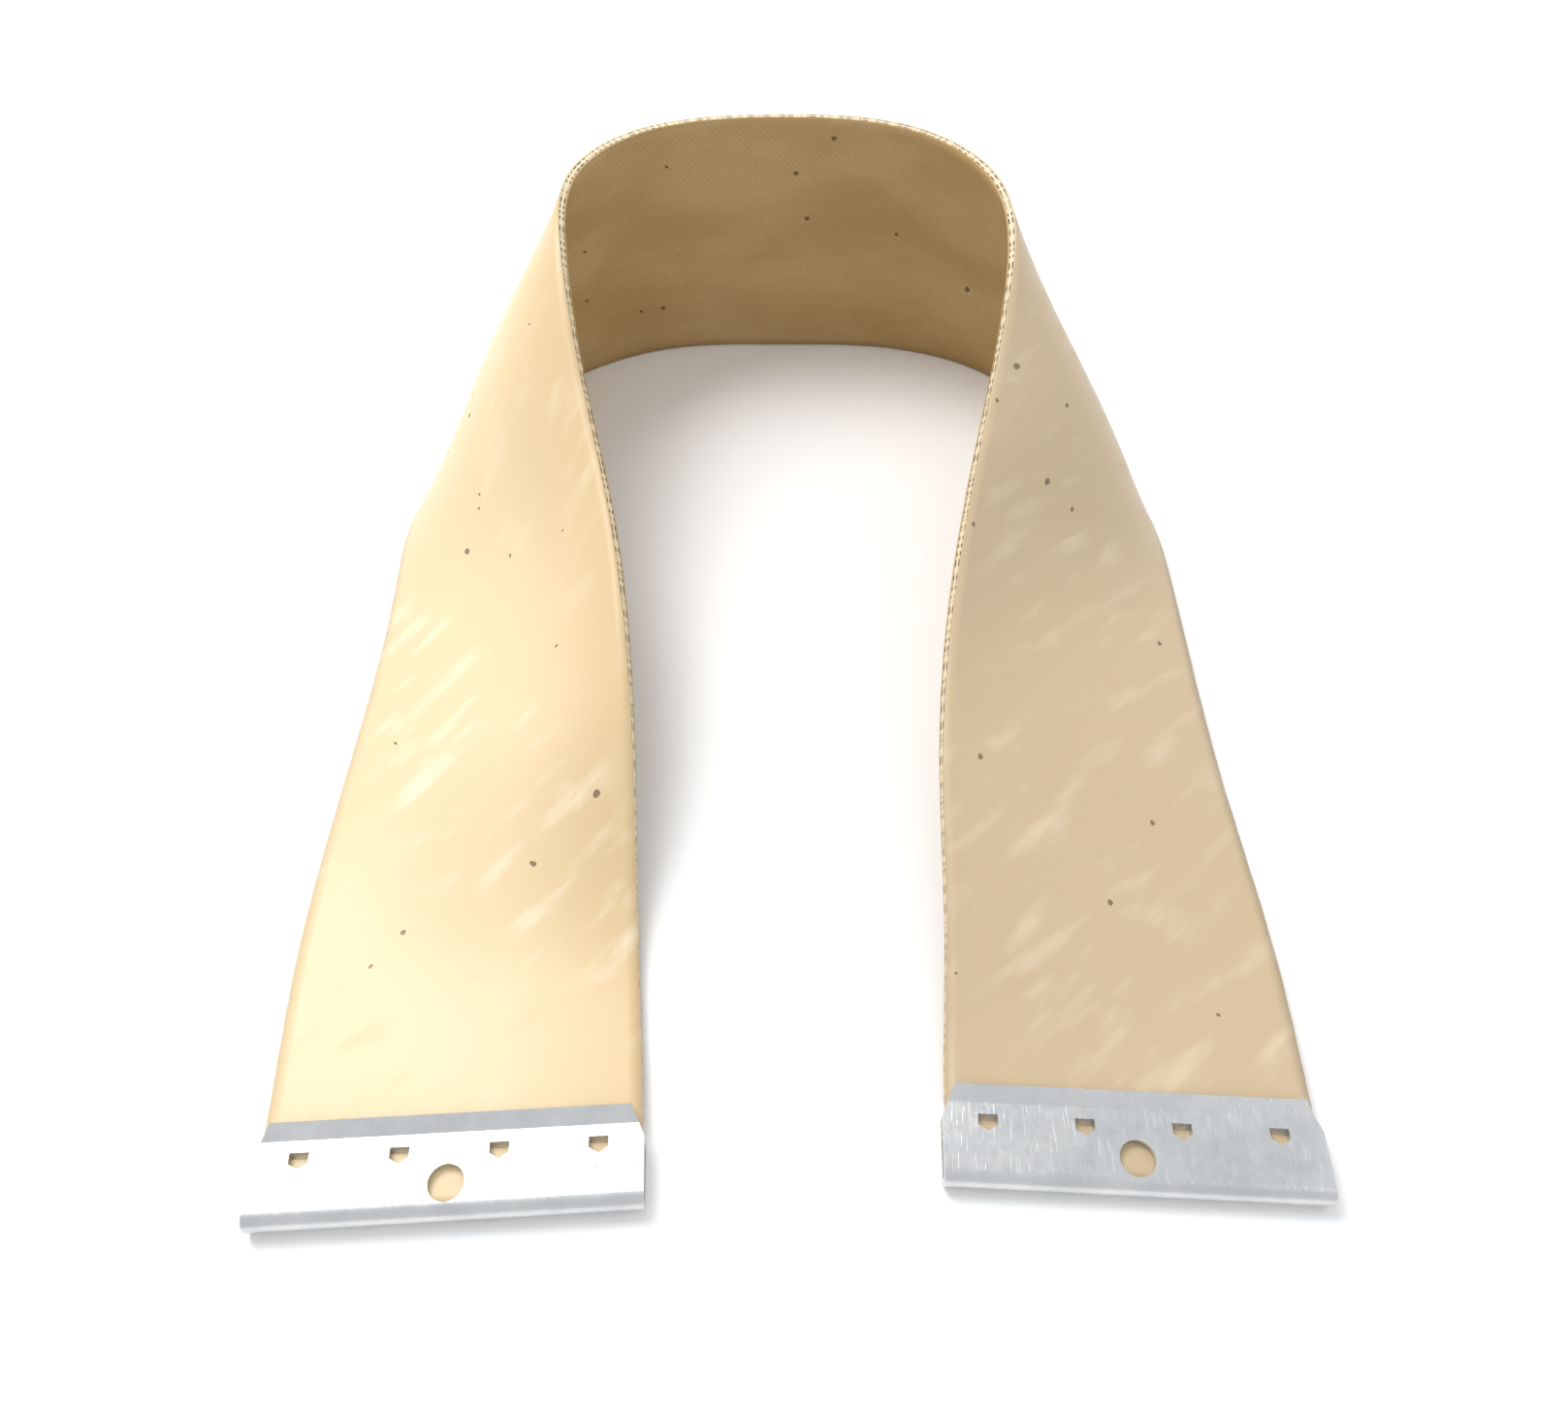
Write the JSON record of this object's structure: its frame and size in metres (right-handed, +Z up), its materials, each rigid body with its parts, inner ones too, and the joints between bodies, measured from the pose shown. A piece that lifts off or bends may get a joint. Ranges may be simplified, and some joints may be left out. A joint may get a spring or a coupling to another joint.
{
  "type": "rubber webbing strap",
  "caption": "Looped length of cord-reinforced rubber webbing with a crimped steel end clip on each end, for a sprung seat.",
  "frame": {"origin": "middle of the footprint, on the surface it stands on", "axes": "+Z up; +Y from the end clips towards the top of the loop; +X from the left clip to the right clip"},
  "size_m": [0.1472, 0.1958, 0.0503],
  "materials": {
    "zinc_plated_steel": "bright zinc plate",
    "outer_rubber": "smooth, dusted with talc",
    "outer_cord": "rubbered cord laid on the bias",
    "core_rubber": "plain",
    "inner_cord": "rubbered cord laid on the bias",
    "inner_rubber": "matt, with the cords showing through"
  },
  "bodies": {
    "root": {"left_end_clip": "zinc_plated_steel", "right_end_clip": "zinc_plated_steel", "outer_rubber_cover": "outer_rubber", "outer_cord_ply": "outer_cord", "rubber_core": "core_rubber", "inner_cord_ply": "inner_cord", "inner_rubber_cover": "inner_rubber"}
  },
  "joints": []
}
